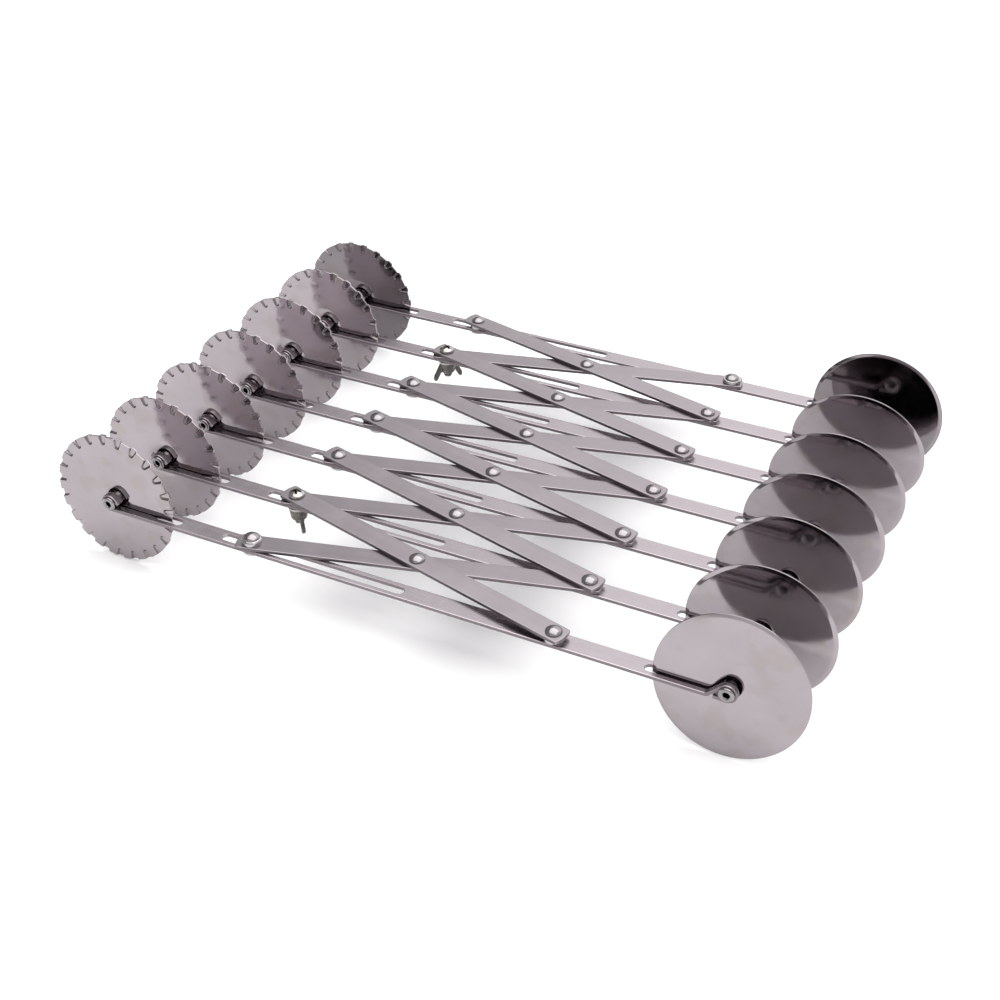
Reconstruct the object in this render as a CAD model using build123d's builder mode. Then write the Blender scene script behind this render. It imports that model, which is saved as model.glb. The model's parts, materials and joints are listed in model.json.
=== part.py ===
from build123d import *
import math
import os

# Expandable dough divider: seven double-ended cutter arms joined by a lazy-tong
# linkage.  Fluted wheels at -X, plain wheels at +X.  Arm 1 is at -Y, arm 7 at +Y.
# Millimetres, +Z up.  The origin is on the table plane (the wheel rims' lowest
# line), midway between the two rows of axles and on arm 4's centre line.

# ---------------------------------------------------------------- dimensions
ARMS = 7
PITCH = 32.8            # arm spacing as drawn
SPAN = 130.0            # left pivot to right pivot along an arm, as drawn
LINK = math.hypot(SPAN, PITCH)          # hole to hole along a link
TILT = math.degrees(math.atan2(PITCH, SPAN))

WHEEL_R = 28.5          # 57 mm cutter wheels
AXLE_X = 131.7          # axles at +-AXLE_X
AXLE_Z = WHEEL_R
PLAIN_T = 1.0           # plain disc thickness
PLAIN_BEVEL = 1.5       # radial width of the sharpened rim
PLAIN_LAND = 0.40       # what is left of the thickness at the rim
FLUTE_T = 0.8           # fluted disc thickness
FLUTES = 23             # scoops pressed into the rim, all to the same side
FLUTE_IN_R = 24.6       # where the scoops start
FLUTE_A = 1.1           # depth of a scoop at the rim
BORE_R = 2.45           # wheel bore, loose on the axle
AXLE_R = 2.25           # axle rivet shank

ARM_W = 8.0             # arm strip
T = 1.5                 # strip thickness, arms and links
EYE_IN = 2.30           # inside radius of the rolled eyes
EYE_OUT = EYE_IN + T
ARM_TOP = AXLE_Z - EYE_IN
ARM_BOT = ARM_TOP - T
HOOK_A = 48.0           # the fluted end's roll stops here (degrees from +X) ...
HOOK_L = 3.0            # ... and runs on straight this far, a hook that stays open
RISE = 45.0             # slope of the plain end's strip as it climbs over its eye
BEND_R = 1.5            # inside radius of that bend
TAIL_X = 5.0            # the plain end's roll comes back this far under the strip

FORK_F_ROOT = 98.6      # root of the fork slot, fluted end
FORK_F_W = 3.8
FORK_F_EYE_W = 1.9      # the fluted end's slot narrows to this at the eye ...
FORK_F_NECK = (109.0, 113.0)    # ... between these distances from the centre
FORK_P_ROOT = 100.2     # root of the fork slot, plain end
FORK_P_W = 3.8
SLOT_L = -79.2          # long slot, end to end
SLOT_R = 3.1
SLOT_W = 4.1
HOLE_R = 2.05           # pivot holes
PIN_R = 1.97            # rivet and screw shanks

LINK_W = 9.0
LINK_OVER_L = 6.4       # link beyond its left hole
LINK_OVER_R = 5.0       # link beyond its right hole
LINK_BULGE = 0.9        # how much a link's end is crowned
LINK_CORNER = 0.8
EDGE = 0.3              # rolled edge of the links

GAP = 0.05              # running gap between stacked strips
LOW_Z = ARM_TOP + GAP               # lower link, underside
UP_Z = LOW_Z + T + GAP              # upper link, underside
HEAD_Z = UP_Z + T + GAP             # underside of rivet and screw heads
HEAD_R = 3.2
HEAD_H = 1.8
TAIL_R = 3.0            # formed tail of a rivet
TAIL_H = 1.2
AX_HEAD_R = 3.1         # axle rivet head and rolled tail
AX_HEAD_H = 1.1
AX_HOLE_R = 1.2
AX_HOLE_D = 5.0

SPACER_R = 4.05
WASHER_R = 4.0
WASHER_T = 1.0
TALL_SPACER_H = 2.15

SCREW_HEAD_R = 3.4
SCREW_HEAD_H = 2.2
SCREW_TIP_Z = 15.8
NUT_H = 5.2
NUT_TOP_R = 4.0
NUT_BOT_R = 3.4
NUT_BORE_R = 2.02
WING_R = 7.4
WING_DROP = 9.4
WING_T = 1.8
WING_ANGLE = {2: -44.0, 6: 52.0}    # how the two wing nuts are left turned

WASH_Z = ARM_BOT - GAP              # washer under a slotted arm, top face
os.makedirs("parts", exist_ok=True)


def arm_y(k):
    return (k - 4) * PITCH


def save(part, name):
    part.label = name
    export_step(part, "parts/" + name + ".step")


# ---------------------------------------------------------------- cutter arm
def ring_point(cx, r, deg):
    return (cx + r * math.cos(math.radians(deg)), AXLE_Z + r * math.sin(math.radians(deg)))


def wedge(cx, a0, a1, r):
    """Corners of a fan from angle a0 to a1, wide enough to clear radius r."""
    steps = 6
    return [(cx, AXLE_Z)] + [ring_point(cx, r, a0 + (a1 - a0) * i / steps) for i in range(steps + 1)]


hs, hc = math.sin(math.radians(HOOK_A)), math.cos(math.radians(HOOK_A))
hook_in = (-AXLE_X + EYE_IN * hc, AXLE_Z + EYE_IN * hs)
hook_out = (-AXLE_X + EYE_OUT * hc, AXLE_Z + EYE_OUT * hs)
hook_in_end = (hook_in[0] + HOOK_L * hs, hook_in[1] - HOOK_L * hc)
hook_out_end = (hook_out[0] + HOOK_L * hs, hook_out[1] - HOOK_L * hc)

MID = ARM_TOP - T / 2
s, c = math.sin(math.radians(RISE)), math.cos(math.radians(RISE))
mid_r = EYE_IN + T / 2
corner_x = AXLE_X - mid_r * (1 + c) / s         # strip's mid line meets the climbing mid line
bend_c = BEND_R + T / 2                         # bend radius on the mid line
bend_t = bend_c * math.tan(math.radians(RISE / 2))
bend_x = corner_x - bend_t
bend_z = MID + bend_c                           # bend centre, above the strip
tan_out = (AXLE_X - EYE_OUT * s, AXLE_Z + EYE_OUT * c)
tan_in = (AXLE_X - EYE_IN * s, AXLE_Z + EYE_IN * c)
bend_up = (bend_x + BEND_R * s, bend_z - BEND_R * c)
bend_dn = (bend_x + (BEND_R + T) * s, bend_z - (BEND_R + T) * c)
half = math.radians(RISE / 2)
bend_up_m = (bend_x + BEND_R * math.sin(half), bend_z - BEND_R * math.cos(half))
bend_dn_m = (bend_x + (BEND_R + T) * math.sin(half), bend_z - (BEND_R + T) * math.cos(half))

with BuildPart() as arm:
    with BuildSketch(Plane.XZ) as side:
        # fluted end: roll that starts under the axle, goes over it and ends in an open hook
        with Locations((-AXLE_X, AXLE_Z)):
            Circle(EYE_OUT)
        with Locations((-AXLE_X, AXLE_Z)):
            Circle(EYE_IN, mode=Mode.SUBTRACT)
        with BuildLine():
            Polyline(*wedge(-AXLE_X, -90.0, HOOK_A, 9.0), close=True)
        make_face(mode=Mode.SUBTRACT)
        with BuildLine():
            Polyline(hook_in, hook_out, hook_out_end, hook_in_end, close=True)
        make_face()
        # plain end: roll that goes over the axle and comes back underneath
        with Locations((AXLE_X, AXLE_Z)):
            Circle(EYE_OUT)
        with Locations((AXLE_X, AXLE_Z)):
            Circle(EYE_IN, mode=Mode.SUBTRACT)
        with BuildLine():
            Polyline(*wedge(AXLE_X, 90.0 + RISE, 270.0, 9.0), close=True)
        make_face(mode=Mode.SUBTRACT)
        # climbing strip with its bend
        with BuildLine():
            l1 = Line((bend_x, ARM_TOP), (bend_x, ARM_BOT))
            l2 = ThreePointArc((bend_x, ARM_BOT), bend_dn_m, bend_dn)
            l3 = Line(bend_dn, tan_in)
            l4 = Line(tan_in, tan_out)
            l5 = Line(tan_out, bend_up)
            l6 = ThreePointArc(bend_up, bend_up_m, (bend_x, ARM_TOP))
        make_face()
        # returned end of the roll
        with BuildLine():
            Polyline((AXLE_X - TAIL_X, ARM_BOT), (AXLE_X, ARM_BOT), (AXLE_X, ARM_TOP), (AXLE_X - TAIL_X, ARM_TOP), close=True)
        make_face()
        # the flat strip
        with BuildLine():
            Polyline((-AXLE_X, ARM_BOT), (bend_x, ARM_BOT), (bend_x, ARM_TOP), (-AXLE_X, ARM_TOP), close=True)
        make_face()
    extrude(amount=ARM_W / 2, both=True)
    # long slot for the sliding pivot
    with BuildSketch(Plane.XY.offset(ARM_BOT - 1)) as slot:
        with Locations(((SLOT_L + SLOT_R) / 2, 0)):
            SlotOverall(SLOT_R - SLOT_L, SLOT_W)
        with Locations((SPAN / 2, 0)):
            Circle(HOLE_R)
    extrude(amount=T + 2, mode=Mode.SUBTRACT)
    # the two fork slots, open at the ends, with round roots
    with BuildSketch(Plane.XY.offset(ARM_BOT - 1)) as forks:
        with Locations((-(FORK_F_ROOT + FORK_F_NECK[0]) / 2, 0)):
            SlotOverall(FORK_F_NECK[0] - FORK_F_ROOT, FORK_F_W)
        wide, slim, (near, far) = FORK_F_W / 2, FORK_F_EYE_W / 2, FORK_F_NECK
        with BuildLine():
            Polyline((-near + 4, wide), (-near, wide), (-far, slim), (-far - 40, slim), (-far - 40, -slim), (-far, -slim), (-near, -wide), (-near + 4, -wide), close=True)
        make_face()
        with Locations((FORK_P_ROOT + 25, 0)):
            SlotOverall(50, FORK_P_W)
        with Locations((FORK_P_ROOT + 35, 0)):
            Rectangle(40, FORK_P_W)
    extrude(amount=2 * EYE_OUT + 4, mode=Mode.SUBTRACT)

for k in range(1, ARMS + 1):
    with BuildPart() as placed_arm:
        with Locations((0, arm_y(k), 0)):
            add(arm.part)
    save(placed_arm.part, f"arm_{k}")


# ---------------------------------------------------------------- links
def link_outline():
    """Crowned-end strip, hole to hole along X, centred on the middle hole."""
    xl, xr, w = -LINK / 2 - LINK_OVER_L, LINK / 2 + LINK_OVER_R, LINK_W / 2
    with BuildLine() as outline:
        Line((xl + LINK_BULGE, w), (xr - LINK_BULGE, w))
        ThreePointArc((xr - LINK_BULGE, w), (xr, 0), (xr - LINK_BULGE, -w))
        Line((xr - LINK_BULGE, -w), (xl + LINK_BULGE, -w))
        ThreePointArc((xl + LINK_BULGE, -w), (xl, 0), (xl + LINK_BULGE, w))
    return outline


outline = link_outline()
with BuildPart() as upper_link:
    with BuildSketch(Plane.XY):
        add(outline.line)
        make_face()
        with Locations((-LINK / 2, 0), (0, 0), (LINK / 2, 0)):
            Circle(HOLE_R, mode=Mode.SUBTRACT)
    extrude(amount=T)
    fillet(upper_link.edges().filter_by(Axis.Z).sort_by(Axis.X)[:2], LINK_CORNER)
    fillet(upper_link.edges().filter_by(Axis.Z).sort_by(Axis.X)[-2:], LINK_CORNER)
    fillet(upper_link.faces().sort_by(Axis.Z)[-1].outer_wire().edges(), EDGE)
    fillet(upper_link.faces().sort_by(Axis.Z)[0].outer_wire().edges(), EDGE)

with BuildPart() as lower_link:
    add(upper_link.part)
    # countersink under the middle hole, for the rivet peened flush
    with BuildSketch(Plane.XY):
        Circle(HOLE_R + 0.55)
    with BuildSketch(Plane.XY.offset(0.6)):
        Circle(HOLE_R)
    loft(mode=Mode.SUBTRACT)

for k in range(1, ARMS):
    mid_y = arm_y(k) + PITCH / 2
    with BuildPart() as placed_upper:
        with Locations(Location((0, mid_y, UP_Z), (0, 0, -TILT))):
            add(upper_link.part)
    save(placed_upper.part, f"upper_link_{k}")
    with BuildPart() as placed_lower:
        with Locations(Location((0, mid_y, LOW_Z), (0, 0, TILT))):
            add(lower_link.part)
    save(placed_lower.part, f"lower_link_{k}")

# ---------------------------------------------------------------- plain wheel
with BuildPart() as plain_wheel:
    with BuildSketch(Plane.XY.offset(-PLAIN_T / 2)):
        Circle(WHEEL_R)
        Circle(BORE_R, mode=Mode.SUBTRACT)
    extrude(amount=PLAIN_T)
    rims = plain_wheel.edges().filter_by(GeomType.CIRCLE).group_by(SortBy.RADIUS)[-1]
    tread = plain_wheel.faces().filter_by(GeomType.CYLINDER).sort_by(SortBy.AREA)[-1]
    chamfer(rims, length=(PLAIN_T - PLAIN_LAND) / 2, length2=PLAIN_BEVEL, reference=tread)

# ---------------------------------------------------------------- fluted wheel
# Scoops are pressed into the rim, all to one side, with the disc's flat left between
# them.  A scoop starts at A, is as wide as B, and runs out through the rim between S
# and its mirror.  Its floor drops from zero round that outline to the line M0 to M.
STEP = 360.0 / FLUTES
OUT_R = WHEEL_R + 0.6       # the blank runs a little past the rim and is then cut round
h = FLUTE_T / 2
fall = FLUTE_A * (OUT_R - FLUTE_IN_R) / (WHEEL_R - FLUTE_IN_R)
A = (FLUTE_IN_R, 0, -h)
B = (FLUTE_IN_R + 0.9, 1.15, -h)
S = (OUT_R, 1.8, -h)
M0 = (FLUTE_IN_R + 1.1, 0, -h - 0.55 * FLUTE_A)
M = (OUT_R, 0, -h - fall)


def over(point):
    return (point[0], -point[1], point[2])


with BuildPart() as scoop:
    for facet in ((A, M0, B), (M0, M, B), (M, S, B)):
        for half_facet in (facet, tuple(over(q) for q in facet)):
            extrude(Face(Wire.make_polygon(half_facet)), amount=FLUTE_T, dir=(0, 0, 1))

with BuildPart() as fluted_wheel:
    with BuildSketch(Plane.XY.offset(-h)):
        Circle(OUT_R)
        Circle(BORE_R, mode=Mode.SUBTRACT)
    extrude(amount=FLUTE_T)
    with BuildSketch(Plane.XY.offset(-h)):
        with PolarLocations(0, FLUTES):
            with BuildLine():
                Polyline(A[:2], B[:2], (OUT_R + 1, 1.8 + 0.65 * (S[0] + 1 - S[0]) / (S[0] - B[0])), (OUT_R + 1, -1.8 - 0.65 * (S[0] + 1 - S[0]) / (S[0] - B[0])), over(B)[:2], close=True)
            make_face()
    extrude(amount=FLUTE_T, mode=Mode.SUBTRACT)
    with PolarLocations(0, FLUTES):
        add(scoop.part)
    with BuildSketch(Plane.XY.offset(-3)):
        Circle(WHEEL_R)
    extrude(amount=6, mode=Mode.INTERSECT)

# Each wheel stands upright: its own +Z turns to face -Y.  The phases only keep the
# seven fluted rims from lining up.  The bores are loose, so each wheel leans a little
# in its fork (degrees; positive leans the top towards +Y) and rides up on its axle
# until its lowest point is on the table or above it.
PHASE = {1: 1.9, 2: 9.0, 3: 4.2, 4: 12.5, 5: 6.3, 6: 14.1, 7: 3.0}
LEAN_FLUTED = {1: 4.5, 2: 2.4, 3: -1.3, 4: -2.5, 5: 0.9, 6: 0.0, 7: -2.1}
LEAN_PLAIN = {1: 8.9, 2: 1.7, 3: 0.0, 4: -4.0, 5: -6.6, 6: -7.7, 7: 1.6}


def ride_up(lean, half_rim):
    """Lift that keeps a leaning wheel's lowest point off the table."""
    a = math.radians(abs(lean))
    return max(0.0, WHEEL_R * math.cos(a) + half_rim * math.sin(a) - WHEEL_R)


for k in range(1, ARMS + 1):
    z = AXLE_Z + ride_up(LEAN_FLUTED[k], FLUTE_A + FLUTE_T / 2)
    with BuildPart() as placed_fluted:
        with Locations(Location((-AXLE_X, arm_y(k), z), (90 - LEAN_FLUTED[k], 0, 0)) * Location((0, 0, 0), (0, 0, PHASE[k]))):
            add(fluted_wheel.part)
    save(placed_fluted.part, f"fluted_wheel_{k}")
    z = AXLE_Z + ride_up(LEAN_PLAIN[k], PLAIN_LAND / 2)
    with BuildPart() as placed_plain:
        with Locations(Location((AXLE_X, arm_y(k), z), (90 - LEAN_PLAIN[k], 0, 0))):
            add(plain_wheel.part)
    save(placed_plain.part, f"plain_wheel_{k}")

# ---------------------------------------------------------------- rivets
def dome_mid(r, z_edge, z_top):
    """Point half way along a spherical cap that has radius r at z_edge and its crown at z_top."""
    rise = abs(z_top - z_edge)
    up_down = 1 if z_top > z_edge else -1
    ball = (r * r + rise * rise) / (2 * rise)
    half_angle = math.asin(r / ball) / 2
    return (ball * math.sin(half_angle), z_top - up_down * ball * (1 - math.cos(half_angle)))


# Axle rivet, semi-tubular: domed head at its -Z end, rolled hollow tail at +Z.
e = ARM_W / 2
ring_mid = (AX_HEAD_R + AX_HOLE_R) / 2
with BuildPart() as axle_rivet:
    with BuildSketch(Plane.XZ):
        with BuildLine():
            ThreePointArc((0, -e - AX_HEAD_H), dome_mid(AX_HEAD_R, -e - 0.15, -e - AX_HEAD_H), (AX_HEAD_R, -e - 0.15))
            Polyline((AX_HEAD_R, -e - 0.15), (AX_HEAD_R, -e), (AXLE_R, -e), (AXLE_R, e), (AX_HEAD_R, e), (AX_HEAD_R, e + 0.35))
            ThreePointArc((AX_HEAD_R, e + 0.35), (ring_mid + 0.25, e + AX_HEAD_H), (AX_HOLE_R, e + 0.55))
            Polyline((AX_HOLE_R, e + 0.55), (AX_HOLE_R, e - AX_HOLE_D), (0, e - AX_HOLE_D - 0.5), (0, -e - AX_HEAD_H))
        make_face()
    revolve(axis=Axis.Z)


def pivot_rivet(bottom, tail, top, foot=False):
    """Domed rivet about Z: head from z=top up, tail from z=bottom down, or a foot peened flush."""
    with BuildPart() as rivet:
        with BuildSketch(Plane.XZ):
            with BuildLine():
                if foot:
                    Polyline((0, bottom), (HOLE_R + 0.5, bottom), (PIN_R, bottom + 0.58), (PIN_R, top))
                else:
                    ThreePointArc((0, bottom - tail), dome_mid(TAIL_R, bottom - 0.2, bottom - tail), (TAIL_R, bottom - 0.2))
                    Polyline((TAIL_R, bottom - 0.2), (TAIL_R, bottom), (PIN_R, bottom), (PIN_R, top))
                Polyline((PIN_R, top), (HEAD_R, top), (HEAD_R, top + 0.35))
                ThreePointArc((HEAD_R, top + 0.35), dome_mid(HEAD_R, top + 0.35, top + HEAD_H), (0, top + HEAD_H))
                Line((0, top + HEAD_H), (0, bottom if foot else bottom - tail))
            make_face()
        revolve(axis=Axis.Z)
    return rivet.part


def ring(r_out, r_in, z0, z1, top_chamfer=0.0):
    with BuildPart() as washer:
        with BuildSketch(Plane.XY.offset(z0)):
            Circle(r_out)
            Circle(r_in, mode=Mode.SUBTRACT)
        extrude(amount=z1 - z0)
        if top_chamfer:
            chamfer(washer.edges().filter_by(GeomType.CIRCLE).group_by(Axis.Z)[-1].sort_by(SortBy.RADIUS)[-1], top_chamfer)
    return washer.part


through_rivet = pivot_rivet(ARM_BOT, TAIL_H, HEAD_Z)
flush_rivet = pivot_rivet(LOW_Z, 0, HEAD_Z, foot=True)
slide_rivet = pivot_rivet(WASH_Z - WASHER_T - GAP, TAIL_H, HEAD_Z)
tall_slide_rivet = pivot_rivet(WASH_Z - WASHER_T - GAP, TAIL_H, LOW_Z + T + TALL_SPACER_H)
slide_washer = ring(WASHER_R, HOLE_R, WASH_Z - WASHER_T, WASH_Z)

for k in range(1, ARMS + 1):
    with BuildPart() as arm_rivets:
        with Locations(
            Location((-AXLE_X, arm_y(k), AXLE_Z), (90, 0, 0)),
            Location((AXLE_X, arm_y(k), AXLE_Z), (90, 0, 0)),
        ):
            add(axle_rivet.part)
        with Locations((SPAN / 2, arm_y(k), 0)):
            add(through_rivet)
    save(arm_rivets.part, f"arm_rivets_{k}")

for k in range(1, ARMS):
    with BuildPart() as link_rivets:
        with Locations((0, arm_y(k) + PITCH / 2, 0)):
            add(flush_rivet)
        if k not in WING_ANGLE:
            with Locations((-SPAN / 2, arm_y(k), 0)):
                add(tall_slide_rivet if k == 1 else slide_rivet)
                add(slide_washer)
    save(link_rivets.part, f"link_rivets_{k}")

with BuildPart() as end_rivet:
    with Locations((-SPAN / 2, arm_y(ARMS), 0)):
        add(slide_rivet)
        add(slide_washer)
save(end_rivet.part, "end_slide_rivet_7")

# ---------------------------------------------------------------- end spacers
# The end arms carry one link at each pivot, so a ring fills the other link's place.
spacers = {
    "tall_spacer_1_left": (-SPAN / 2, 1, LOW_Z + T, LOW_Z + T + TALL_SPACER_H, 0.6),
    "spacer_1_right": (SPAN / 2, 1, ARM_TOP, UP_Z - GAP, 0.0),
    "spacer_7_left": (-SPAN / 2, ARMS, LOW_Z, UP_Z, 0.0),
    "spacer_7_right": (SPAN / 2, ARMS, UP_Z, HEAD_Z, 0.3),
}
for name, (x, k, z0, z1, edge) in spacers.items():
    with BuildPart() as spacer:
        with Locations((x, arm_y(k), 0)):
            add(ring(SPACER_R, HOLE_R, z0, z1, edge))
    save(spacer.part, name)

# ---------------------------------------------------------------- clamping screws
with BuildPart() as screw:
    with BuildSketch(Plane.XZ):
        with BuildLine():
            Polyline((0, SCREW_TIP_Z), (PIN_R - 0.5, SCREW_TIP_Z), (PIN_R, SCREW_TIP_Z + 0.5), (PIN_R, HEAD_Z), (SCREW_HEAD_R, HEAD_Z), (SCREW_HEAD_R, HEAD_Z + 0.9))
            ThreePointArc((SCREW_HEAD_R, HEAD_Z + 0.9), dome_mid(SCREW_HEAD_R, HEAD_Z + 0.9, HEAD_Z + SCREW_HEAD_H), (0, HEAD_Z + SCREW_HEAD_H))
            Line((0, HEAD_Z + SCREW_HEAD_H), (0, SCREW_TIP_Z))
        make_face()
    revolve(axis=Axis.Z)
    # cross recess, tapering towards its floor
    for turn in (0, 90):
        with BuildSketch(Plane(origin=(0, 0, HEAD_Z + SCREW_HEAD_H), x_dir=(math.cos(math.radians(turn)), math.sin(math.radians(turn)), 0), z_dir=(0, 0, 1))):
            Rectangle(4.0, 0.95)
        with BuildSketch(Plane(origin=(0, 0, HEAD_Z + SCREW_HEAD_H - 1.4), x_dir=(math.cos(math.radians(turn)), math.sin(math.radians(turn)), 0), z_dir=(0, 0, 1))):
            Rectangle(1.7, 0.6)
        loft(mode=Mode.SUBTRACT)

nut_top = WASH_Z - WASHER_T
with BuildPart() as wing_nut:
    with BuildSketch(Plane.XZ):
        with BuildLine():
            Polyline((0, nut_top), (NUT_TOP_R, nut_top), (NUT_TOP_R, nut_top - 0.8), (NUT_BOT_R, nut_top - NUT_H), (0, nut_top - NUT_H), close=True)
        make_face()
    revolve(axis=Axis.Z)
    for side_sign in (1, -1):
        with BuildSketch(Plane.XZ):
            with BuildLine():
                Polyline(*[(side_sign * r, nut_top + z) for r, z in (
                    (2.4, -0.9), (4.3, -1.0), (WING_R, -6.8), (WING_R - 0.1, -WING_DROP + 0.5),
                    (WING_R - 0.7, -WING_DROP), (WING_R - 1.7, -WING_DROP + 0.2), (3.1, -4.9), (2.4, -4.9))], close=True)
            make_face()
        extrude(amount=WING_T / 2, both=True)
    with BuildSketch(Plane.XY.offset(nut_top - NUT_H - 1)):
        Circle(NUT_BORE_R)
    extrude(amount=NUT_H + 2, mode=Mode.SUBTRACT)

for k, turn in WING_ANGLE.items():
    with BuildPart() as placed_screw:
        with Locations(Location((-SPAN / 2, arm_y(k), 0), (0, 0, 20 if k == 2 else -25))):
            add(screw.part)
    save(placed_screw.part, f"clamp_screw_{k}")
    with BuildPart() as placed_washer:
        with Locations((-SPAN / 2, arm_y(k), 0)):
            add(ring(WASHER_R + 0.3, HOLE_R, WASH_Z - WASHER_T, WASH_Z))
    save(placed_washer.part, f"clamp_washer_{k}")
    with BuildPart() as placed_nut:
        with Locations(Location((-SPAN / 2, arm_y(k), 0), (0, 0, turn))):
            add(wing_nut.part)
    save(placed_nut.part, f"wing_nut_{k}")

d_max = math.sqrt(LINK**2 - (SPAN / 2 - (SLOT_R - SLOT_W / 2))**2)
print("link", round(LINK, 3), "tilt", round(TILT, 3), "widest spacing the slots allow", round(d_max, 2))
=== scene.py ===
import bpy
import bmesh
import json
import math
from mathutils import Matrix, Vector
from mathutils.geometry import tessellate_polygon


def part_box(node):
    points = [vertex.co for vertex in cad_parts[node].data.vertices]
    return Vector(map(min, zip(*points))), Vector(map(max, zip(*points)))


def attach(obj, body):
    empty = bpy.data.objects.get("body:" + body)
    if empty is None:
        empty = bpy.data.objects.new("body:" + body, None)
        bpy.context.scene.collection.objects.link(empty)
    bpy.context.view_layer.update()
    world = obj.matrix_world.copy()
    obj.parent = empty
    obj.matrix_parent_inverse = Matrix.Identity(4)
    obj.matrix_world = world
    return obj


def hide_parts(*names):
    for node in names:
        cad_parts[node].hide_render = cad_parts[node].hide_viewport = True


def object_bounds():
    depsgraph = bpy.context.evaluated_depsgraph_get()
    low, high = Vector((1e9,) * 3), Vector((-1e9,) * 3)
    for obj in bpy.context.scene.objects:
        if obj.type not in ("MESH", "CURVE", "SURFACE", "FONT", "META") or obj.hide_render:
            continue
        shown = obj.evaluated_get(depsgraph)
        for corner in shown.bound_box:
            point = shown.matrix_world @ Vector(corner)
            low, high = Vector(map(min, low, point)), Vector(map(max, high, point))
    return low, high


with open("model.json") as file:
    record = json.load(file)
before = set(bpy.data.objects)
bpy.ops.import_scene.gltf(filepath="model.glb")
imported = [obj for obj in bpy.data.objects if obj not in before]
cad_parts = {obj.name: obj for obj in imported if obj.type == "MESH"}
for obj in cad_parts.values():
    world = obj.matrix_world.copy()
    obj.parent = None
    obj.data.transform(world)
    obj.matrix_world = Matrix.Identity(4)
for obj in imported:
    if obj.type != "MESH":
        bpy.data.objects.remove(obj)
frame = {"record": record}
CAD_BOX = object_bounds()
record = frame["record"]
MM = 0.001

# ------------------------------------------------------------------ sizes
# The same driving sizes as the part, in millimetres.  Places come from the frame.
ARMS = 7
LOCKED = (2, 6)                     # arms with a screw and wing nut at the sliding pivot
AXLE_R = 2.25
ARM_W, T = 8.0, 1.5
EYE_IN = 2.30
HOOK_A, HOOK_L = 48.0, 3.0
RISE = 45.0
BEND_R = 1.5
TAIL_X = 5.0
FORK_F_ROOT, FORK_F_W = 98.6, 3.8
FORK_F_EYE_W, FORK_F_NECK = 1.9, (109.0, 113.0)
FORK_P_ROOT, FORK_P_W = 100.2, 3.8
SLOT_L, SLOT_R, SLOT_W = -79.2, 3.1, 4.1
HOLE_R, PIN_R = 2.05, 1.97
LINK_W, LINK_OVER_L, LINK_OVER_R = 9.0, 6.4, 5.0
PLAIN_T, PLAIN_BEVEL, PLAIN_LAND = 1.0, 1.5, 0.40
FLUTE_T, FLUTES, FLUTE_IN_R, FLUTE_A, BORE_R = 0.8, 23, 24.6, 1.1, 2.45
HEAD_R, HEAD_H, TAIL_R, TAIL_H = 3.2, 1.8, 3.0, 1.2
AX_HEAD_R, AX_HEAD_H, AX_HOLE_R, AX_HOLE_D = 3.1, 1.1, 1.2, 5.0
SCREW_HEAD_R, SCREW_HEAD_H = 3.4, 2.2
PHASE = {1: 1.9, 2: 9.0, 3: 4.2, 4: 12.5, 5: 6.3, 6: 14.1, 7: 3.0}
WING_ANGLE = {2: -44.0, 6: 52.0}
RECESS_TURN = {2: 20.0, 6: -25.0}


def box_mm(node):
    lo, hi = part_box(node)
    return Vector(lo) / MM, Vector(hi) / MM


# ------------------------------------------------------------------ materials
def new_material(name):
    m = bpy.data.materials.new(name)
    m.use_nodes = True
    nt = m.node_tree
    nt.nodes.clear()
    out = nt.nodes.new("ShaderNodeOutputMaterial")
    bsdf = nt.nodes.new("ShaderNodeBsdfPrincipled")
    nt.links.new(bsdf.outputs["BSDF"], out.inputs["Surface"])
    return m, nt, bsdf


def node(nt, kind, **inputs):
    n = nt.nodes.new(kind)
    for key, value in inputs.items():
        n.inputs[key.replace("_", " ")].default_value = value
    return n


def mapped(nt, scale, rotation=(0, 0, 0)):
    co = nt.nodes.new("ShaderNodeTexCoord")
    mp = nt.nodes.new("ShaderNodeMapping")
    mp.inputs["Scale"].default_value = scale
    mp.inputs["Rotation"].default_value = rotation
    nt.links.new(co.outputs["Object"], mp.inputs["Vector"])
    return mp.outputs["Vector"]


def noise(nt, vector, scale, detail=3.0, rough=0.55):
    n = nt.nodes.new("ShaderNodeTexNoise")
    n.inputs["Scale"].default_value = scale
    n.inputs["Detail"].default_value = detail
    n.inputs["Roughness"].default_value = rough
    nt.links.new(vector, n.inputs["Vector"])
    return n.outputs["Fac"]


def ramp(nt, fac, low, high, a, b):
    """Grey or colour from a at fac=low to b at fac=high."""
    r = nt.nodes.new("ShaderNodeValToRGB")
    r.color_ramp.elements[0].position = low
    r.color_ramp.elements[1].position = high
    r.color_ramp.elements[0].color = (*a, 1)
    r.color_ramp.elements[1].color = (*b, 1)
    nt.links.new(fac, r.inputs["Fac"])
    return r.outputs["Color"]


def remap(nt, fac, a, b, low=0.3, high=0.7):
    r = nt.nodes.new("ShaderNodeMapRange")
    r.inputs["From Min"].default_value = low
    r.inputs["From Max"].default_value = high
    r.inputs["To Min"].default_value = a
    r.inputs["To Max"].default_value = b
    nt.links.new(fac, r.inputs["Value"])
    return r.outputs["Result"]


def multiply(nt, a, b, fac=1.0):
    m = nt.nodes.new("ShaderNodeMix")
    m.data_type = "RGBA"
    m.blend_type = "MULTIPLY"
    m.inputs["Factor"].default_value = fac
    nt.links.new(a, m.inputs[6])
    nt.links.new(b, m.inputs[7])
    return m.outputs[2]


def add(nt, a, b):
    m = nt.nodes.new("ShaderNodeMath")
    m.operation = "ADD"
    nt.links.new(a, m.inputs[0])
    nt.links.new(b, m.inputs[1])
    return m.outputs[0]


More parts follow.
